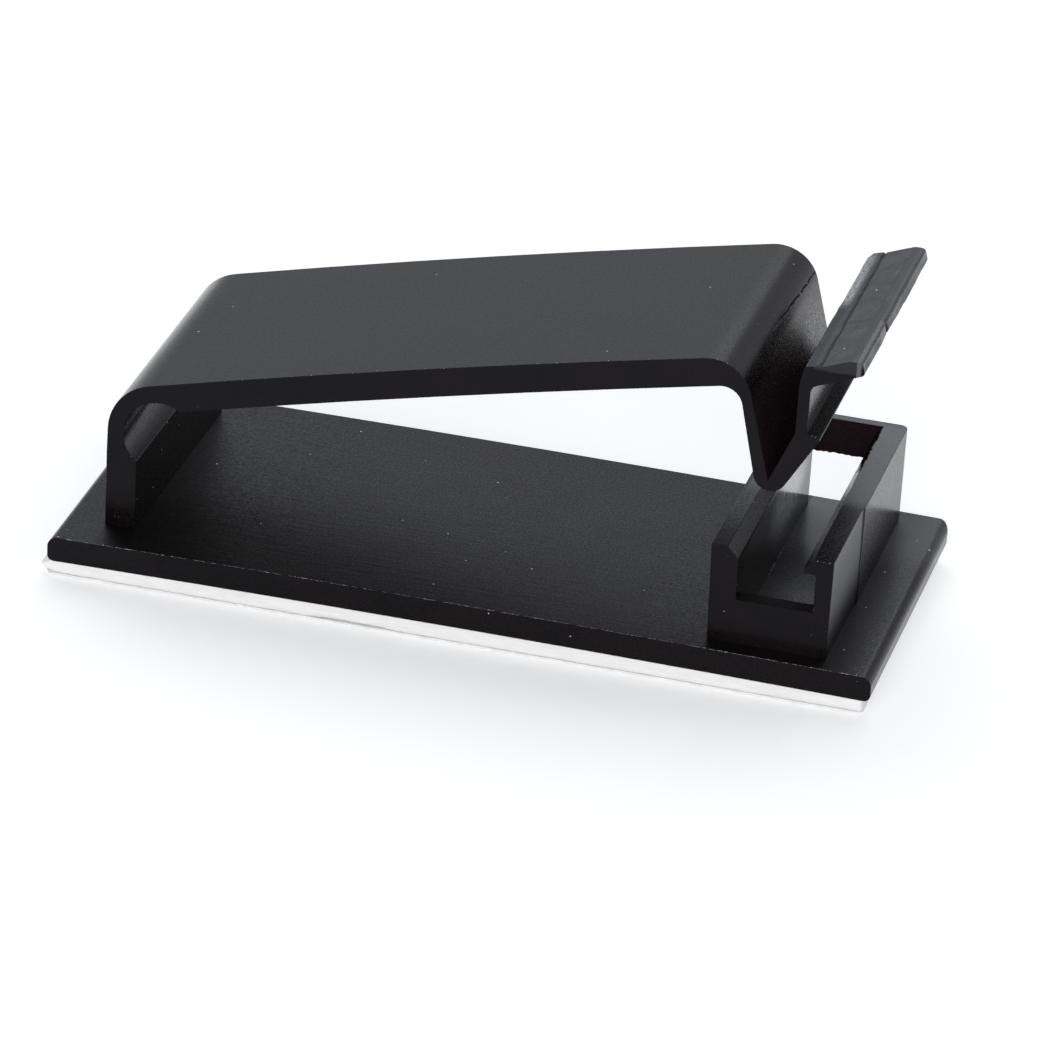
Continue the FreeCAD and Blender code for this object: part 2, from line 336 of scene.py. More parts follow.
def glint_speck_group():
    """Rare tiny pale specks, painted glints: a mask. Share is the part of the cells that hold one.
    """
    group, start, end = new_group(
        "Specks Painted As Glints",
        [("Vector", "NodeSocketVector", None), ("Spacing", "NodeSocketFloat", 1.1 * MM),
         ("Share", "NodeSocketFloat", 0.17), ("Radius", "NodeSocketFloat", 0.055)],
        [("Mask", "NodeSocketFloat")],
    )
    cells = group.nodes.new("ShaderNodeTexVoronoi")
    cells.inputs["Randomness"].default_value = 1.0
    wire(group, start.outputs["Vector"], cells.inputs["Vector"])
    wire(group, maths(group, "DIVIDE", 1.0, start.outputs["Spacing"]), cells.inputs["Scale"])
    split = group.nodes.new("ShaderNodeSeparateColor")
    wire(group, cells.outputs["Color"], split.inputs["Color"])
    chance, growth = split.outputs[0], split.outputs[1]
    chosen = maths(group, "LESS_THAN", chance, start.outputs["Share"])
    size = maths(group, "MULTIPLY", start.outputs["Radius"], maths(group, "ADD", growth, 0.4))
    near = maths(group, "LESS_THAN", cells.outputs["Distance"], size)
    wire(group, maths(group, "MULTIPLY", chosen, near), end.inputs["Mask"])
    return group


def mould_line_group():
    """Fine lines along X on the plate's top, as the mould was cut: a height and a mask."""
    group, start, end = new_group(
        "Mould Lines",
        [("Vector", "NodeSocketVector", None), ("Normal", "NodeSocketVector", None)],
        [("Height", "NodeSocketFloat"), ("Mask", "NodeSocketFloat")],
    )
    vector = start.outputs["Vector"]
    lines = noise_value(group, stretched(group, vector, (140.0, 5200.0, 140.0)), 1.0, 3.0, 0.6)
    waver = noise_value(group, stretched(group, vector, (420.0, 2300.0, 100.0)), 1.0, 2.0, 0.5)
    height = maths(group, "ADD", lines, maths(group, "MULTIPLY", waver, 0.8))
    x, _, z = axes(group, vector)
    low = between(group, z, 3.3 * MM, 3.6 * MM, 1.0, 0.0)
    up = between(group, axes(group, start.outputs["Normal"])[2], 0.9, 0.99)
    catch = maths(
        group, "MULTIPLY",
        maths(group, "GREATER_THAN", x, CATCH_X[0] * MM),
        maths(group, "LESS_THAN", x, CATCH_X[1] * MM),
    )
    mask = combined(group, "MULTIPLY", (low, up, maths(group, "SUBTRACT", 1.0, catch)))
    margin = between(group, x, 24.8 * MM, 27.2 * MM, 1.0, 0.0)
    wire(group, maths(group, "MULTIPLY", height, mask), end.inputs["Height"])
    wire(group, maths(group, "MULTIPLY", mask, margin), end.inputs["Mask"])
    return group


def near_spot(group, vector, centre, reach):
    """Soft mask round a point: centre and reach along X, Y and Z in millimetres."""
    away = group.nodes.new("ShaderNodeVectorMath")
    away.operation = "SUBTRACT"
    wire(group, vector, away.inputs[0])
    away.inputs[1].default_value = in_metres(centre)
    length = group.nodes.new("ShaderNodeVectorMath")
    length.operation = "LENGTH"
    wire(group, stretched(group, away.outputs[0], [1 / (r * MM) for r in reach]), length.inputs[0])
    return between(group, length.outputs["Value"], 0.3, 1.0, 1.0, 0.0)


def wear_and_painted_light_group():
    """Places that differ from the rest of the skin, each a mask or a height.

    Painted Light whitens the skin with painted highlights, sheen, glare and lit patches,
    Inner paints the deep faces lighter as fill light, Dull makes the skin rougher and
    Polish lays a gloss on it. Scuff Height and Crease Height feed bumps.
    """
    group, start, end = new_group(
        "Wear And Painted Light",
        [("Vector", "NodeSocketVector", None), ("Normal", "NodeSocketVector", None)],
        [("Painted Light", "NodeSocketFloat"), ("Inner", "NodeSocketFloat"), ("Dull", "NodeSocketFloat"),
         ("Scuff Height", "NodeSocketFloat"), ("Crease Height", "NodeSocketFloat"),
         ("Polish", "NodeSocketFloat")],
    )
    vector = start.outputs["Vector"]
    x, y, z = axes(group, vector)
    facing_y = axes(group, start.outputs["Normal"])[1]

    def product(*values):
        return combined(group, "MULTIPLY", values)

    def strongest(*values):
        return combined(group, "MAXIMUM", values)

    def ramp(value, low, high, out_low=0.0, out_high=1.0):
        return between(group, value, low * MM, high * MM, out_low, out_high)

    def inside(value, low, high, soft):
        rise = ramp(value, low - soft, low + soft)
        return product(rise, ramp(value, high - soft, high + soft, 1.0, 0.0))

    def grains(size, detail, roughness, low, high, out_high=1.0):
        return between(
            group, noise_value(group, vector, size, detail, roughness), low, high, 0.0, out_high,
        )

    leg = near_spot(group, vector, (18.5, 7.4, 17.6), (1.6, 3.8, 2.6))
    wall = near_spot(group, vector, (18.32, 4.5, 6.9), (0.2, 7.0, 3.4))
    scratches = noise_value(
        group, stretched(group, vector, (400.0, 6200.0, 1500.0)), 1.0, 4.0, 0.7,
    )
    clouds = grains(900.0, 2.0, 0.6, 0.35, 0.6)

    # Painted highlights on the tab: glare on two patches of its shoulder, a pale streak along
    # its crest, its outer edge, and a faint painted sheen over all of it
    shoulder = product(
        near_spot(group, vector, (21.35, 6.4, 22.45), (0.75, 40.0, 0.75)),
        inside(y, 1.3, 10.3, 1.1), ramp(y, 5.5, 9.5, *SHOULDER_PAINTED_GLARE),
        maths(group, "ADD", product(grains(5200.0, 2.0, 0.6, 0.35, 0.6), 0.35), 0.25),
    )
    streak = product(inside(x, 23.86, 24.0, 0.1), inside(z, 22.9, 23.6, 0.05), clouds)
    edge = product(inside(x, 24.84, 25.3, 0.05), inside(z, 23.0, 23.6, 0.12))
    tab = product(inside(x, 21.8, 24.8, 0.1), inside(z, 22.4, 23.6, 0.1), TAB_PAINTED_SHEEN)
    on_tab = strongest(shoulder, product(strongest(streak, edge), CREST_PAINTED_HIGHLIGHT), tab)

    # Painted light on the catch: sheen on its outer wall, more before its step, the lit back
    # right of its floor beside the shade, a highlight on its rim, and sheen on the plate behind it
    outer_wall = product(
        inside(x, 24.6, 24.9, 0.03), ramp(z, 3.2, 7.0), ramp(y, -2.3, -2.2, *CATCH_WALL_PAINTED_SHEEN),
    )
    slanted = maths(group, "ADD", product(x, 4.3), y)
    floor = inside(z, 2.8, 3.1, 0.05)
    painted_lit_floor = product(
        ramp(slanted, 88.0, 91.5), ramp(y, -0.5, 3.0), inside(x, 18.4, 23.4, 0.05), floor,
        CATCH_FLOOR_PAINTED_LIGHT,
    )
    rim = product(
        inside(x, 16.7, 24.7, 0.05), inside(y, -2.0, 11.6, 1.0), inside(z, 9.75, 9.9, 0.03),
        CATCH_RIM_PAINTED_HIGHLIGHT,
    )
    plate = product(
        ramp(x, 20.5, 24.5), ramp(y, 3.0, 8.0), inside(z, 2.4, 3.1, 0.05), PLATE_PAINTED_SHEEN,
    )
    on_catch = strongest(outer_wall, painted_lit_floor, rim, plate)

    # Painted highlight speckled over the latch's leg, and painted reflection streaked along the
    # scratches of the catch's rubbed inner wall
    speckled_highlight = product(leg, grains(6400.0, 3.0, 0.75, 0.45, 0.62, LEG_PAINTED_HIGHLIGHT))
    streaked_reflection = product(wall, between(group, scratches, 0.42, 0.6, 0.05, 0.5))
    wire(group, strongest(on_tab, on_catch, speckled_highlight, streaked_reflection), end.inputs["Painted Light"])
    rubbed = product(wall, between(group, scratches, 0.36, 0.58, 0.55, 1.0))
    wire(group, rubbed, end.inputs["Polish"])

    # Inner faces of the latch and the catch's bar, painted lighter as fill light in their shade
    latch = product(
        inside(x, 17.9, 21.4, 0.3), inside(z, 13.6, 21.0, 0.4),
        between(group, facing_y, -0.8, -0.4),
    )
    bar = product(inside(y, 10.7, 10.95, 0.05), inside(z, 7.0, 9.7, 0.1))
    wire(group, strongest(latch, bar), end.inputs["Inner"])

    # Duller skin on the catch's outer wall, most of all before its step, and on its sill and floor
    dull_wall = product(
        inside(x, 24.62, 24.9, 0.01), inside(z, 3.0, 9.75, 0.1), ramp(y, -2.3, -2.1, 0.85, 0.3),
    )
    across = inside(x, *SLOT_X, 0.05)
    sill = product(across, inside(y, -11.25, -9.8, 0.05), inside(z, 5.9, 6.2, 0.05), 1.2)
    dull_floor = product(across, inside(y, -10.2, 11.0, 0.1), floor, 0.15)

    # Scuffs: grainy patch on the latch's leg and upright scratches in the catch
    grainy = product(leg, noise_value(group, vector, 7000.0, 3.0, 0.7))
    wire(group, maths(group, "ADD", grainy, product(wall, scratches)), end.inputs["Scuff Height"])

    # Crease across the strap's corner, deeper toward the back. Its line falls a little along Y.
    waver = maths(group, "MULTIPLY", maths(group, "SUBTRACT", clouds, 0.5), 0.05 * MM)
    line = combined(group, "ADD", (product(y, 0.0425), z, waver))
    off_line = maths(group, "ABSOLUTE", maths(group, "SUBTRACT", line, 20.903 * MM))
    crease = product(ramp(off_line, 0.03, 0.09, 1.0, 0.0), ramp(y, -2.0, 3.0),
                     inside(x, 17.3, 18.1, 0.08))
    wire(group, product(crease, -1.0), end.inputs["Crease Height"])
    dull = strongest(dull_wall, sill, dull_floor, product(crease, 2.0))
    wire(group, dull, end.inputs["Dull"])
    return group


def fresh_material(name):
    """An empty node material with a Principled shader and its output."""
    material = bpy.data.materials.new(name)
    material.use_nodes = True
    tree = material.node_tree
    tree.nodes.clear()
    shader = tree.nodes.new("ShaderNodeBsdfPrincipled")
    output = tree.nodes.new("ShaderNodeOutputMaterial")
    shader.location = (900, 0)
    output.location = (1200, 0)
    wire(tree, shader.outputs["BSDF"], output.inputs["Surface"])
    return material, tree, shader


def placed_group(tree, group, vector):
    """A node that uses a group, with its Vector linked."""
    node = tree.nodes.new("ShaderNodeGroup")
    node.node_tree = group
    wire(tree, vector, node.inputs["Vector"])
    return node


def mixed_colour(tree, factor, first, second):
    """Mix of two colours, each a socket or a plain value."""
    node = tree.nodes.new("ShaderNodeMix")
    node.data_type = "RGBA"
    wire(tree, factor, node.inputs["Factor"])
    colour_sockets = [socket for socket in node.inputs if socket.type == "RGBA"]
    for socket, value in zip(colour_sockets, (first, second)):
        feed(tree, value, socket)
    return next(socket for socket in node.outputs if socket.type == "RGBA")


def shaded(colour, factor):
    """A colour made lighter or darker by a factor."""
    return tuple(min(1.0, part * factor) for part in colour[:3]) + (1.0,)


def bumped(tree, height, relief, under=None):
    """Normal of a Bump node, laid over another normal where one is given."""
    strength, depth = relief
    node = tree.nodes.new("ShaderNodeBump")
    node.inputs["Strength"].default_value = strength
    node.inputs["Distance"].default_value = depth * MM
    wire(tree, height, node.inputs["Height"])
    if under is not None:
        wire(tree, under, node.inputs["Normal"])
    return node.outputs["Normal"]


def moulding_material(finish):
    """Satin black moulded plastic with fine grain, mould lines and wear, and with painted light:
    fill on deep faces, highlights, sheen, and specks painted as glints.
    """
    material, tree, shader = fresh_material("satin_black_moulding")
    place = tree.nodes.new("ShaderNodeTexCoord").outputs["Object"]
    normal = tree.nodes.new("ShaderNodeNewGeometry").outputs["Normal"]
    grain = placed_group(tree, grain_group(), place)
    grain.inputs["Size"].default_value = finish.grain_size
    specks = placed_group(tree, glint_speck_group(), place)
    lines = placed_group(tree, mould_line_group(), place)
    wear_and_light = placed_group(tree, wear_and_painted_light_group(), place)
    for node in (lines, wear_and_light):
        wire(tree, normal, node.inputs["Normal"])

    body = tuple(finish.body_colour)
    cloud = grain.outputs["Cloud"]
    tone_and_painted_light = mixed_colour(tree, between(tree, cloud, 0.35, 0.7), body, shaded(body, CLOUD_TONE))
    # Painted light in the colour: fill on the deep inner faces, highlights, sheen, lit patches and
    # glints
    tone_and_painted_light = mixed_colour(tree, wear_and_light.outputs["Inner"], tone_and_painted_light, shaded(body, INNER_PAINTED_FILL))
    tone_and_painted_light = mixed_colour(tree, wear_and_light.outputs["Painted Light"], tone_and_painted_light, tuple(finish.painted_light_colour))
    tone_and_painted_light = mixed_colour(tree, specks.outputs["Mask"], tone_and_painted_light, tuple(finish.speck_glint_colour))
    wire(tree, tone_and_painted_light, shader.inputs["Base Color"])

    # Roughness: satin, rougher in the clouds and mould lines, sleeker at a glancing angle
    rough = maths(tree, "ADD", grain.outputs["Gloss Change"], finish.roughness)
    rough = maths(tree, "ADD", rough, maths(tree, "MULTIPLY", cloud, 0.08))
    rough = maths(tree, "ADD", rough, maths(tree, "MULTIPLY", lines.outputs["Mask"], 0.2))
    glancing = tree.nodes.new("ShaderNodeLayerWeight")
    glancing.inputs["Blend"].default_value = 0.5
    sleek = between(tree, glancing.outputs["Facing"], 0.62, 0.9, 1.0, 0.45)
    rough = maths(tree, "MULTIPLY", rough, sleek)
    worn_dull = maths(tree, "MULTIPLY", wear_and_light.outputs["Dull"], 0.3)
    wire(tree, maths(tree, "ADD", rough, worn_dull, clamp=True), shader.inputs["Roughness"])
    shader.inputs["Specular IOR Level"].default_value = finish.specular
    shader.inputs["Specular Tint"].default_value = finish.sheen_colour
    wire(tree, wear_and_light.outputs["Polish"], shader.inputs["Coat Weight"])
    shader.inputs["Coat Roughness"].default_value = 0.12

    skin = bumped(tree, grain.outputs["Height"], GRAIN_RELIEF)
    skin = bumped(tree, lines.outputs["Height"], LINE_RELIEF, skin)
    skin = bumped(tree, wear_and_light.outputs["Scuff Height"], SCUFF_RELIEF, skin)
    skin = bumped(tree, wear_and_light.outputs["Crease Height"], CREASE_RELIEF, skin)
    wire(tree, skin, shader.inputs["Normal"])
    return material


def glint_burr_material(finish):
    """Plastic of the small burrs and flash, whitened by stress and painted pale as glints."""
    material, tree, shader = fresh_material("burrs_painted_as_glints")
    place = tree.nodes.new("ShaderNodeTexCoord").outputs["Object"]
    patchy = noise_value(tree, place, 6000.0, 2.0, 0.5)
    pale = tuple(finish.speck_glint_colour)
    colour = mixed_colour(tree, between(tree, patchy, 0.35, 0.65), shaded(pale, 0.25), pale)
    wire(tree, colour, shader.inputs["Base Color"])
    wire(tree, between(tree, patchy, 0.3, 0.7, 0.55, 0.3), shader.inputs["Roughness"])
    return material


def foam_material(tape):
    """White closed-cell foam with fine cells and faint shading."""
    material, tree, shader = fresh_material("white_foam_tape")
    place = tree.nodes.new("ShaderNodeTexCoord").outputs["Object"]
    cells = tree.nodes.new("ShaderNodeTexVoronoi")
    cells.inputs["Scale"].default_value = 1 / FOAM_CELL
    wire(tree, place, cells.inputs["Vector"])
    streaks = noise_value(tree, stretched(tree, place, (500.0, 500.0, 3500.0)), 1.0, 3.0, 0.6)
    white = tuple(tape.foam_colour)
    colour = mixed_colour(tree, between(tree, streaks, 0.3, 0.75), white, shaded(white, 0.93))
    wire(tree, colour, shader.inputs["Base Color"])
    shader.inputs["Roughness"].default_value = 0.85
    shader.inputs["Specular IOR Level"].default_value = 0.3
    wire(tree, bumped(tree, cells.outputs["Distance"], FOAM_RELIEF), shader.inputs["Normal"])
    return material


def liner_material(tape):
    """White siliconised paper with faint fibres."""
    material, tree, shader = fresh_material("white_paper_liner")
    place = tree.nodes.new("ShaderNodeTexCoord").outputs["Object"]
    fibres = noise_value(tree, stretched(tree, place, (900.0, 2600.0, 900.0)), 1.0, 4.0, 0.65)
    white = tuple(tape.liner_colour)
    colour = mixed_colour(tree, between(tree, fibres, 0.35, 0.75), white, shaded(white, 0.9))
    wire(tree, colour, shader.inputs["Base Color"])
    wire(tree, between(tree, fibres, 0.2, 0.8, 0.42, 0.6), shader.inputs["Roughness"])
    wire(tree, bumped(tree, fibres, PAPER_RELIEF), shader.inputs["Normal"])
    return material


# Mesh helpers

def object_from(name, mesh_data, material):
    """New object on the clip's body, in its material."""
    item = bpy.data.objects.new(name, mesh_data)
    bpy.context.scene.collection.objects.link(item)
    mesh_data.materials.clear()
    mesh_data.materials.append(material)
    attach(item, "root")
    return item


def faces_within(work, low, high):
    """Faces that lie wholly inside a box."""
    return [
        face for face in work.faces
        if all(low[i] - CLOSE <= vert.co[i] <= high[i] + CLOSE
               for vert in face.verts for i in range(3))
    ]


def with_rims(faces):
    """Faces with their edges and corners, always in the same order."""
    edges = dict.fromkeys(edge for face in faces for edge in face.edges)
    verts = dict.fromkeys(vert for face in faces for vert in face.verts)
    return faces + list(edges) + list(verts)


def sliced(work, low, high, axis, places):
    """Cut the faces inside a box across one axis at each place."""
    normal = Vector([1.0 if i == axis else 0.0 for i in range(3)])
    for place in places:
        geom = with_rims(faces_within(work, low, high))
        bmesh.ops.bisect_plane(
            work, geom=geom, dist=CLOSE, plane_co=normal * place, plane_no=normal,
        )


def steps(first, last, gap):
    """Evenly spaced places from first to last."""
    count = max(1, round((last - first) / gap))
    return [first + (last - first) * i / count for i in range(count + 1)]


def ease(value, low, high):
    """Smooth step from 0 at low to 1 at high."""
    share = min(1.0, max(0.0, (value - low) / (high - low)))
    return share * share * (3 - 2 * share)


def ripple(first, second, third=0.0):
    """Smooth noise between -1 and 1 at a place given by three numbers."""
    return noise.noise(Vector((first, second, third)))


def finished_mesh(work, name):
    """Smooth mesh made from the work, which is freed."""
    for face in work.faces:
        face.smooth = True
    mesh_data = bpy.data.meshes.new(name)
    work.to_mesh(mesh_data)
    work.free()
    return mesh_data


def roughen_tab(work):
    """Uneven thumb tab: wandering edges, torn front end, a nick and a rubbed far corner."""
    ends = [
        face for face in work.faces
        if abs(face.normal.y) > 0.99 and any(v.co.x > 24.5 and v.co.z > 22.8 for v in face.verts)
        and any(v.co.z < 20 for v in face.verts)
    ]
    bmesh.ops.bisect_plane(
        work, geom=with_rims(ends), dist=CLOSE, plane_co=(0, 0, TAB_ROOT_Z), plane_no=(0, 0, 1),
    )
    round_nick = [NICK_Y + step for step in (-0.5, -0.32, -0.16, 0.0, 0.16, 0.32, 0.5)]
    sliced(work, TAB_LOW, TAB_HIGH, 1, sorted(steps(-9.2, 10.1, 0.45) + round_nick))
    sliced(work, TAB_LOW, TAB_HIGH, 0, steps(21.25, 25.1, 0.28))
    for vert in work.verts:
        place = vert.co.copy()
        if not all(TAB_LOW[i] < place[i] < TAB_HIGH[i] for i in range(3)):
            continue
        slow = [noise.noise(place * 0.45 + Vector(o)) for o in ((3.1, 0.4, 5.3), (8.7, 6.2, 1.9))]
        quick = [noise.noise(place * 2.1 + Vector(o)) for o in ((7.3, 0.2, 3.6), (1.4, 9.5, 4.8))]
        shift = Vector((slow[0] * 0.06 + quick[0] * 0.02, 0, slow[1] * 0.05 + quick[1] * 0.025))
        shift.x -= 0.16 * (1 - ease(place.x, 21.35, 21.9))
        if 22.0 < place.x < 22.32:
            shift.x += 0.07 * ripple(place.y * 1.3, 4.4) + 0.04 * ripple(place.y * 3.9, 2.4)
        # Torn front end
        torn = 1 - ease(place.y, -9.5, -8.9)
        bite = ripple(place.x * 1.9, 1.7, place.z * 0.9)
        coarse = ripple(place.x * 0.8, 8.1, place.z * 0.5)
        shift.y += torn * (0.1 + 0.12 * coarse + 0.05 * bite)
        shift.z += torn * 0.09 * bite * ease(place.z, 22.1, 22.5)
        # Worn far corner
        far = ease(place.y, 9.7, 10.4)
        shift.y -= far * (0.05 + 0.08 * bite)
        shift.x += far * 0.22 * (1 - ease(place.x, 21.2, 21.9))
        # Nick in the outer edge
        dent = math.exp(-((place.y - NICK_Y) / 0.16) ** 2) * ease(place.x, 24.75, 25.0)
        shift.x -= 0.1 * dent
        shift.z -= 0.05 * dent
        vert.co += shift * ease(place.z, TAB_ROOT_Z, 22.0)


def roughen_bar(work):
    """Jagged lower edge of the catch's back bar and of the lip beside it."""
    left, right = SLOT_X
    low, high = (left, 10.7, 7.1), (right, 11.0, 7.4)
    sliced(work, (left, 10.7, 7.0), (right, 11.7, 9.9), 0, steps(18.45, 23.35, 0.14))
    for vert in work.verts:
        place = vert.co
        if all(low[i] < place[i] < high[i] for i in range(3)):
            jag = ripple(place.x * 4.1, 3.3) + 0.6 * ripple(place.x * 9.7, 1.3)
            fade = ease(place.x, 18.35, 18.6) * (1 - ease(place.x, 23.2, 23.44))
            place.z += 0.075 * jag * fade
    sliced(work, (22.5, -11.3, 9.0), (right, 11.0, 9.9), 1, steps(2.0, 10.7, 0.2))
    for vert in work.verts:
        place = vert.co
        if 22.95 < place.x < 23.3 and 1.9 < place.y < 10.8 and place.z > 9.74:
            jag = ripple(place.y * 2.9, 5.5) + 0.6 * ripple(place.y * 7.3, 2.5)
            place.x += 0.1 * jag * ease(place.y, 2.0, 5.0) * (1 - ease(place.y, 10.4, 10.8))


def in_fixed_order(work):
    """The same mesh with its faces in an order that is the same in every run."""
    work.verts.index_update()
    rings = []
    for face in work.faces:
        ring = [vert.index for vert in face.verts]
        first = ring.index(min(ring))
        rings.append(ring[first:] + ring[:first])
    fresh = bmesh.new()
    verts = [fresh.verts.new(vert.co) for vert in work.verts]
    for ring in sorted(rings):
        fresh.faces.new([verts[index] for index in ring])
    work.free()
    fresh.normal_update()
    return fresh


def keep_in_box(work):
    """Pull any vertex that left the part's box back to its side."""
    low, high = CAD_BOX
    for vert in work.verts:
        vert.co = Vector([min(high[i], max(low[i], vert.co[i])) for i in range(3)])


def flat_regions(mesh_data):
    """Area of the flat region that each triangle belongs to."""
    parent = list(range(len(mesh_data.polygons)))

    def root(index):
        while parent[index] != index:
            parent[index] = parent[parent[index]]
            index = parent[index]
        return index

    beside = {}
    for polygon in mesh_data.polygons:
        for key in polygon.edge_keys:
            beside.setdefault(key, []).append(polygon.index)
    limit = math.cos(FLAT_WITHIN)
    for pair in beside.values():
        if len(pair) == 2:
            first, second = (mesh_data.polygons[i] for i in pair)
            if first.normal.dot(second.normal) > limit:
                parent[root(pair[0])] = root(pair[1])
    areas = {}
    for polygon in mesh_data.polygons:
        region = root(polygon.index)
        areas[region] = areas.get(region, 0.0) + polygon.area
    return [areas[root(polygon.index)] for polygon in mesh_data.polygons]


def even_normals(mesh_data, sharp_angle):
    """Corner normals led by the largest flat face at each corner, so flat faces stay flat."""
    mesh_data.set_sharp_from_angle(angle=sharp_angle)
    areas = flat_regions(mesh_data)
    at_vertex = {}
    for polygon in mesh_data.polygons:
        for vertex in polygon.vertices:
            at_vertex.setdefault(vertex, []).append(polygon)
    limit = math.cos(sharp_angle)
    normals = []
    for polygon in mesh_data.polygons:
        for vertex in polygon.vertices:
            total = Vector((0, 0, 0))
            for other in at_vertex[vertex]:
                if other.normal.dot(polygon.normal) > limit:
                    total += other.normal * areas[other.index] ** 2
            normals.append(total.normalized() if total.length > 0 else polygon.normal)
    mesh_data.normals_split_custom_set(normals)


def softened_moulding(finish):
    """The moulding's mesh with its sharp outer edges rounded a little and its wear cut in."""
    work = bmesh.new()
    work.from_mesh(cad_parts["clip_body"].data)
    bmesh.ops.scale(work, vec=(1 / MM,) * 3, verts=work.verts)
    bmesh.ops.remove_doubles(work, verts=work.verts, dist=CLOSE)
    bmesh.ops.dissolve_limit(
        work, angle_limit=math.radians(0.05), verts=work.verts, edges=work.edges,
    )
    bmesh.ops.dissolve_degenerate(work, dist=0.012, edges=work.edges)

    def in_ring_band(place):
        return RING_Z[0] < place.z < RING_Z[1]

    outer = []
    for edge in work.edges:
        if not (edge.is_manifold and edge.is_convex and edge.calc_face_angle() > SHARP_OVER):
            continue
        on_tab = all(v.co.x > TAB_LOW[0] and v.co.z > 21.2 for v in edge.verts)
        on_ring = all(v.co.y < -12.6 and in_ring_band(v.co) for v in edge.verts)
        if not on_tab and not on_ring:
            outer.append(edge)
    bmesh.ops.bevel(
        work, geom=outer, offset=finish.edge_round / MM, offset_type="OFFSET", segments=2,
        profile=0.5, affect="EDGES", clamp_overlap=False, loop_slide=True,
    )
    roughen_tab(work)
    roughen_bar(work)
    # The ejector rings are made shallower: only a thin shade of them shows
    for vert in work.verts:
        if -12.69 < vert.co.y < -12.6 and in_ring_band(vert.co) and abs(vert.co.x) < 27.3:
            vert.co.y = RING_FLOOR_Y
    work = in_fixed_order(work)
    bmesh.ops.triangulate(work, faces=work.faces, quad_method="BEAUTY", ngon_method="BEAUTY")
    bmesh.ops.scale(work, vec=(MM,) * 3, verts=work.verts)
    keep_in_box(work)
    mesh_data = finished_mesh(work, "moulding")
    even_normals(mesh_data, math.radians(30))
    return mesh_data


# Burrs whitened and painted pale as glints: x, y, z, length along X, Y and Z in
# hundredths of a millimetre
GLINT_BURRS = (
    (20.11, -12.67, 2.93, 9, 4, 4), (22.35, -12.67, 2.91, 7, 4, 4), (26.97, -12.6, 2.83, 10, 8, 7),
    (27.05, -12.7, 2.42, 5, 3, 16), (26.7, -12.69, 2.77, 8, 4, 5), (26.86, -12.7, 1.52, 6, 3, 5),
    (10.25, -12.67, 3.0, 5, 4, 4), (15.07, -12.67, 2.98, 5, 4, 4), (16.82, -12.67, 2.97, 6, 4, 4),
    (23.57, -12.67, 2.89, 7, 4, 4), (23.96, -12.67, 2.88, 6, 4, 4), (-26.99, -12.69, 2.78, 8, 4, 4),
    (-27.11, -11.25, 2.86, 11, 5, 3), (-24.12, -12.67, 2.88, 6, 4, 4),
    (-23.2, -12.67, 2.89, 9, 4, 4), (-21.34, -12.67, 2.91, 5, 3, 3),
    (-16.92, -12.67, 2.96, 6, 3, 3), (-16.39, -12.7, 2.69, 4, 3, 4),
    (-11.28, -12.67, 3.0, 5, 3, 3), (-8.8, -12.67, 3.02, 5, 3, 3),
    (-24.36, -9.5, 3.57, 4, 3, 4), (-24.11, -9.5, 3.58, 3, 3, 4),
    (15.5, -9.47, 22.1, 10, 4, 4), (16.2, -9.47, 21.93, 8, 4, 5), (16.84, -9.47, 21.56, 6, 4, 6),
    (22.1, -9.47, 17.76, 12, 4, 4), (22.33, -9.44, 17.7, 11, 7, 6),
    (23.5, -11.18, 9.8, 16, 4, 3), (23.9, -11.18, 9.8, 12, 4, 3), (24.3, -11.17, 9.79, 10, 5, 4),
    (18.33, -11.1, 7.09, 4, 4, 6), (18.33, -11.05, 6.1, 4, 4, 6),
    (17.6, 5.95, 20.65, 9, 26, 11), (17.62, 7.9, 20.57, 4, 16, 5), (17.64, 9.4, 20.5, 4, 14, 5),
    (-23.42, -9.49, 8.1, 5, 3, 7), (-23.22, -9.49, 7.85, 4, 3, 5), (-19.0, -9.49, 12.55, 4, 3, 4),
    (17.12, -6.67, 9.81, 6, 6, 2), (17.77, -11.2, 5.15, 4, 3, 4), (17.61, -11.2, 9.05, 4, 3, 4),
    (23.31, -11.2, 6.25, 4, 3, 4), (23.49, -11.2, 4.47, 4, 3, 4), (21.34, 8.76, 22.42, 8, 18, 6),
)


def burr(work, skin, place, size, turn):
    """One small irregular lump of pale plastic, a burr painted as a glint, half sunk in the
    moulding's skin.
    """
    place = skin.find_nearest(place)[0]
    for vert in bmesh.ops.create_icosphere(work, subdivisions=1, radius=0.5)["verts"]:
        wobble = 1 + 0.5 * noise.noise(vert.co * 3 + Vector((turn, turn * 0.7, 0)))
        vert.co = Vector([vert.co[i] * wobble * size[i] for i in range(3)]) + place


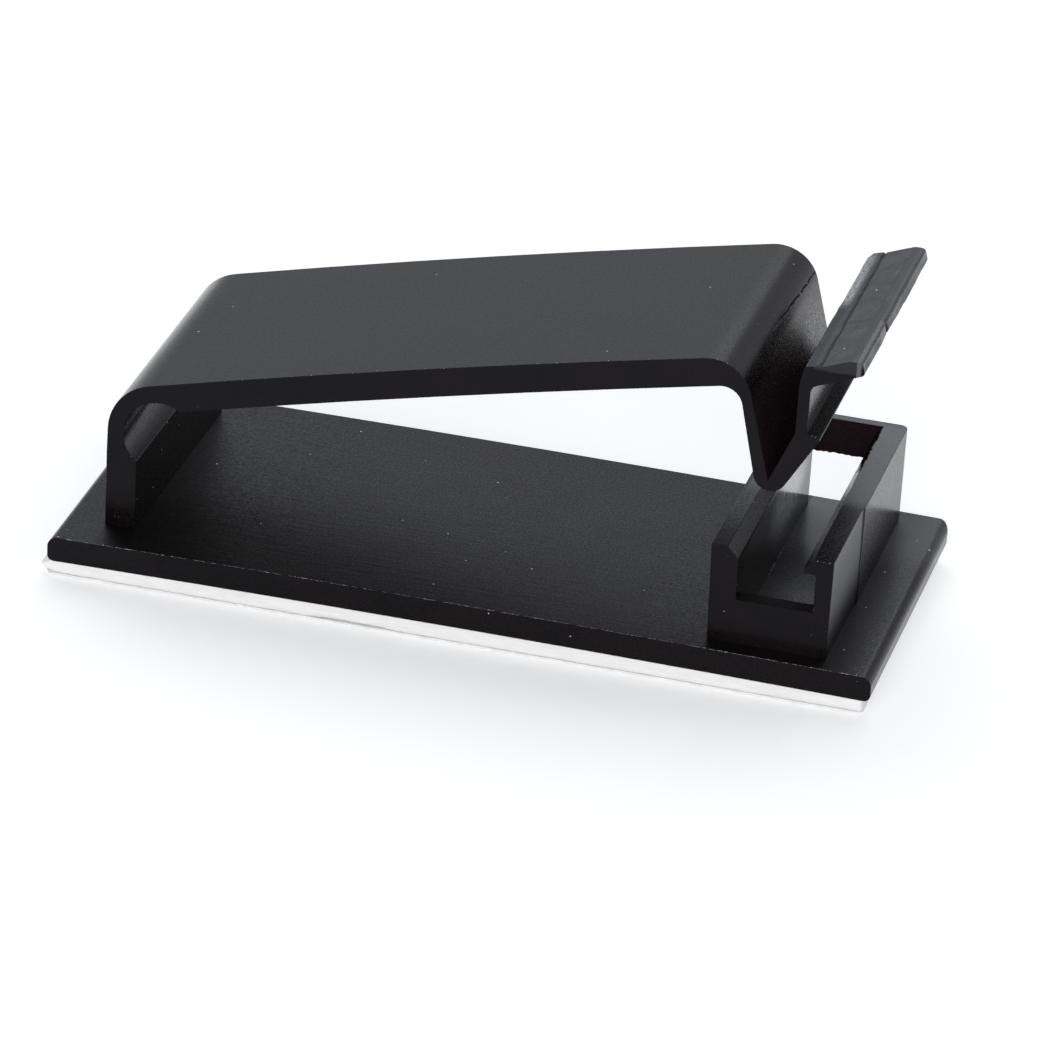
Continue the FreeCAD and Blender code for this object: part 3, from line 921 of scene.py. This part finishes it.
def edge_flash_mesh(moulding):
    """Burrs on the moulding and a broken line of flash along the base's front edge, all
    painted pale as glints.
    """
    skin = BVHTree.FromPolygons(
        [vert.co for vert in moulding.vertices], [face.vertices for face in moulding.polygons],
    )
    work = bmesh.new()

    def add(place, size, turn):
        burr(work, skin, in_metres(place), Vector(size) * MM, turn)

    for index, (x, y, z, *size) in enumerate(GLINT_BURRS):
        add((x, y, z), Vector(size) * 0.01, index * 1.3)
    # Foot of the catch's inner wall
    for index, y in enumerate(steps(-0.4, 3.8, 0.35)):
        add((18.34, y, 2.985), (0.05, 0.14 + 0.12 * ripple(index * 1.7, 4.0), 0.05), index * 2.1)
    # Front upper edge of the strap
    for (x1, z1), (x2, z2) in zip(STRAP_TOP_LINE, STRAP_TOP_LINE[1:]):
        for index, share in enumerate(steps(0.05, 0.95, 0.22)):
            chance = ripple(x1 + 2.3 * index, 7.7, z1)
            if chance < -0.05:
                continue
            x = x1 + (x2 - x1) * share + 0.5 * chance
            y = STRAP_FRONT_Y + 0.3 * max(0.0, chance - 0.25)
            z = z1 + (z2 - z1) * (x - x1) / (x2 - x1) - 0.005
            add((x, y, z), (0.09 + 0.12 * chance, 0.04, 0.03 + 0.03 * chance), x)
    # Front upper edge of the base, which bows up
    x = -26.6
    while x < 27.2:
        chance = ripple(x * 1.9, 2.2) + 0.25 * ripple(x * 0.3, 9.1)
        length = 0.25 + 0.9 * abs(ripple(x * 3.1, 6.2))
        if chance > -0.2:
            share = (x + 28) / 56
            z = 2.85 + 0.8 * share * (1 - share) - 0.012
            thick = 0.012 + 0.02 * ease(chance, 0, 0.5)
            add((x, BASE_FRONT_Y, z), (length, thick, thick), x)
        x += 0.6 * length + 0.25 * abs(ripple(x * 2.7, 1.1))
    keep_in_box(work)
    return finished_mesh(work, "edge_flash")


def foam_top(x):
    """Height of the base's underside at x in millimetres: a shallow arc with straight ends."""
    if abs(x) > 26.3:
        return 1.1 + 0.014286 * (28 - abs(x))
    return 1.312 - x * x / 3684


def ring_solid(name, stations, ring):
    """Closed mesh through equal rings of points, one ring per station, with its ends filled."""
    work = bmesh.new()
    rows = [[work.verts.new(in_metres(point)) for point in ring(x)] for x in stations]
    for near, far in zip(rows, rows[1:]):
        for index in range(len(near)):
            after = (index + 1) % len(near)
            work.faces.new((near[index], far[index], far[after], near[after]))
    work.faces.new(rows[0])
    work.faces.new(list(reversed(rows[-1])))
    bmesh.ops.recalc_face_normals(work, faces=work.faces)
    bmesh.ops.triangulate(work, faces=[face for face in work.faces if len(face.verts) > 4])
    mesh_data = finished_mesh(work, name)
    mesh_data.set_sharp_from_angle(angle=math.radians(50))
    return mesh_data


def end_narrowing(x, left, right, radius):
    """How far the sides draw in near the rounded ends."""
    gap = min(x - left, right - x)
    if gap >= radius:
        return 0.0
    return radius - math.sqrt(max(0.0, radius * radius - (radius - gap) ** 2))


def foam_mesh(tape):
    """Foam strip: cut edges that wander, a pinched left end and a crease above the liner."""
    wander = tape.foam_waviness / MM
    rises = (0.0, 0.06, 0.2, 0.4, 0.6, 0.8, 0.94, 1.0)
    left, right = FOAM_ENDS

    def ring(x):
        pinch = max(0.0, 1 - (x - left)) ** 1.25
        low = LINER_TOP + 0.45 * pinch
        high = foam_top(x) - 0.42 * pinch
        half = TAPE_HALF_WIDTH - end_narrowing(x, left, right, 0.3)
        peel = 0.1 * ease(x, -10.5, -8.5) * (1 - ease(x, -5.5, -3.5))
        points = []
        for side in (-1, 1):
            for rise in rises[::-side]:
                z = low + (high - low) * rise
                place = Vector((x * 0.9, side * 5.0, z * 1.6))
                cut = 0.5 + 0.5 * noise.noise(place) + 0.35 * noise.noise(place * 4.3)
                crease = 0.1 * (1 - ease(rise, 0.0, 0.12)) + 0.03 * ease(rise, 0.9, 1.0)
                lift = (0.03 + peel) * (1 - ease(rise, 0.0, 0.3))
                y = half - max(0.0, cut) * wander - crease
                points.append((x, side * y, min(high, z + lift)))
        return points

    stations = steps(left, -27.3, 0.1)[:-1] + steps(-27.3, 26.6, 0.3)[:-1]
    return ring_solid("foam_strip", stations + steps(26.6, right, 0.1), ring)


def liner_mesh():
    """Paper liner: a thin sheet with a ragged cut edge and a small tear in front."""
    left, right = LINER_ENDS
    heights = (0.0, 0.05, LINER_TOP)

    def ring(x):
        half = TAPE_HALF_WIDTH - end_narrowing(x, left, right, 0.5)
        points = []
        for side in (-1, 1):
            rough = 0.07 + 0.07 * ripple(x * 0.8, side * 3.0)
            rough += 0.05 * ripple(x * 3.7, side * 7.0) * ease(x, -6, 4)
            tear = 0.3 * math.exp(-((x + 14.6) / 0.16) ** 2) if side < 0 else 0.0
            y = half - max(0.0, rough) - tear
            for z in heights[::-side]:
                points.append((x, side * (y - (0.02 if z == 0.0 else 0.0)), z))
        return points

    return ring_solid("paper_liner", steps(left, right, 0.16), ring)


class CLIP_OT_moulding(bpy.types.Operator):
    """Dress the black moulding"""

    bl_idname = "clip.moulding"
    bl_label = "Moulding"

    def execute(self, context):
        finish = context.scene.clip_finish
        skin = moulding_material(finish)
        body = object_from("moulding", softened_moulding(finish), skin)
        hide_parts("clip_body")
        burrs = edge_flash_mesh(body.data)
        # Burrs and flash painted pale as glints
        object_from("edge_flash", burrs, glint_burr_material(finish))
        return {"FINISHED"}


class CLIP_OT_tape(bpy.types.Operator):
    """Dress the foam tape and its paper liner"""

    bl_idname = "clip.tape"
    bl_label = "Foam tape and liner"

    def execute(self, context):
        tape = context.scene.clip_tape
        foam = object_from("foam_strip", foam_mesh(tape), foam_material(tape))
        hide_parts("foam_pad")
        liner = object_from("paper_liner", liner_mesh(), liner_material(tape))
        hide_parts("release_liner")
        return {"FINISHED"}


def floor_material(stage):
    """Plain pale floor that shows white, and keeps the clip's shadow."""
    material = bpy.data.materials.new("plain_floor")
    material.use_nodes = True
    tree = material.node_tree
    tree.nodes.clear()
    output = tree.nodes.new("ShaderNodeOutputMaterial")
    matt = tree.nodes.new("ShaderNodeBsdfDiffuse")
    matt.inputs["Color"].default_value = stage.floor_colour
    glow = tree.nodes.new("ShaderNodeEmission")
    path = tree.nodes.new("ShaderNodeLightPath")
    direct, through = path.outputs["Is Camera Ray"], path.outputs["Is Transmission Ray"]
    seen = maths(tree, "MAXIMUM", direct, through)
    seen = maths(tree, "MULTIPLY", seen, FLOOR_GLOW)
    mirrored = maths(tree, "MULTIPLY", path.outputs["Is Glossy Ray"], FLOOR_GLOW_MIRRORED)
    wire(tree, maths(tree, "ADD", seen, mirrored), glow.inputs["Strength"])
    both = tree.nodes.new("ShaderNodeAddShader")
    wire(tree, matt.outputs[0], both.inputs[0])
    wire(tree, glow.outputs[0], both.inputs[1])
    wire(tree, both.outputs[0], output.inputs["Surface"])
    return material


def soft_lamp(name, place, size, power, colour):
    """Square area lamp that looks at the clip."""
    data = bpy.data.lights.new(name, "AREA")
    data.shape = "SQUARE"
    data.size = size
    data.energy = power
    data.color = colour
    lamp = bpy.data.objects.new(name, data)
    lamp.location = place
    lamp.rotation_euler = (-Vector(place)).to_track_quat("-Z", "Y").to_euler()
    bpy.context.scene.collection.objects.link(lamp)


def room_light(stage):
    """World light: a pale room, brighter behind the clip than in front, that shows white."""
    world = bpy.data.worlds.new("room")
    world.use_nodes = True
    tree = world.node_tree
    tree.nodes.clear()
    output = tree.nodes.new("ShaderNodeOutputWorld")
    background = tree.nodes.new("ShaderNodeBackground")
    way = axes(tree, tree.nodes.new("ShaderNodeTexCoord").outputs["Generated"])
    behind = between(tree, way[1], -0.25, 0.55, stage.room, stage.backdrop)
    seen = tree.nodes.new("ShaderNodeLightPath").outputs["Is Camera Ray"]
    strength = tree.nodes.new("ShaderNodeMix")
    strength.data_type = "FLOAT"
    wire(tree, seen, strength.inputs[0])
    wire(tree, behind, strength.inputs[2])
    strength.inputs[3].default_value = 1.0
    wire(tree, mixed_colour(tree, seen, ROOM_TINT, WHITE), background.inputs["Color"])
    wire(tree, strength.outputs[0], background.inputs["Strength"])
    wire(tree, background.outputs[0], output.inputs["Surface"])
    bpy.context.scene.world = world


class CLIP_OT_stage(bpy.types.Operator):
    """Set up the camera, the plain floor and the soft light"""

    bl_idname = "clip.stage"
    bl_label = "Stage"

    def execute(self, context):
        stage = context.scene.clip_stage
        scene = context.scene
        near, far = -FLOOR_REACH, FLOOR_REACH
        floor_mesh = bpy.data.meshes.new("floor")
        floor_mesh.from_pydata(
            [(near, near, 0), (far, near, 0), (far, far, 0), (near, far, 0)], [], [(0, 1, 2, 3)],
        )
        floor = bpy.data.objects.new("floor", floor_mesh)
        floor.location.z = -0.01 * MM
        floor_mesh.materials.append(floor_material(stage))
        scene.collection.objects.link(floor)

        data = bpy.data.cameras.new("view")
        data.sensor_width = 36
        data.lens = stage.lens
        data.clip_start = 0.01
        camera = bpy.data.objects.new("view", data)
        turn = Matrix.Rotation(stage.azimuth, 3, "Z")
        lean = Matrix.Rotation(math.pi / 2 - stage.elevation, 3, "X")
        spin = Matrix.Rotation(stage.roll, 3, "Z")
        aim = (turn @ lean @ spin).to_4x4()
        camera.matrix_world = Matrix.Translation(Vector(stage.place)) @ aim
        scene.collection.objects.link(camera)
        scene.camera = camera

        room_light(stage)
        for lamp in LAMPS:
            soft_lamp(*lamp)
        scene.view_settings.view_transform = "Standard"
        return {"FINISHED"}


class CLIP_PT_panel(bpy.types.Panel):
    """Cable clip's pieces and settings"""

    bl_idname = "CLIP_PT_panel"
    bl_label = "Cable Clip"
    bl_space_type = "VIEW_3D"
    bl_region_type = "UI"
    bl_category = "Cable Clip"

    def draw(self, context):
        for settings, operator in (
            (context.scene.clip_finish, "clip.moulding"),
            (context.scene.clip_tape, "clip.tape"),
            (context.scene.clip_stage, "clip.stage"),
        ):
            box = self.layout.box()
            for name in settings.__annotations__:
                box.prop(settings, name)
            box.operator(operator)


CLASSES = (
    ClipFinish, ClipTape, ClipStage,
    CLIP_OT_moulding, CLIP_OT_tape, CLIP_OT_stage, CLIP_PT_panel,
)


def register():
    """Register the classes and attach their settings to the scene."""
    for item in CLASSES:
        bpy.utils.register_class(item)
    bpy.types.Scene.clip_finish = bpy.props.PointerProperty(type=ClipFinish)
    bpy.types.Scene.clip_tape = bpy.props.PointerProperty(type=ClipTape)
    bpy.types.Scene.clip_stage = bpy.props.PointerProperty(type=ClipStage)


def unregister():
    """Take the settings and the classes away again."""
    del bpy.types.Scene.clip_stage
    del bpy.types.Scene.clip_tape
    del bpy.types.Scene.clip_finish
    for item in reversed(CLASSES):
        bpy.utils.unregister_class(item)


def main():
    register()
    bpy.ops.clip.moulding()
    bpy.ops.clip.tape()
    bpy.ops.clip.stage()
    bpy.context.view_layer.update()


if __name__ == "__main__":
    main()
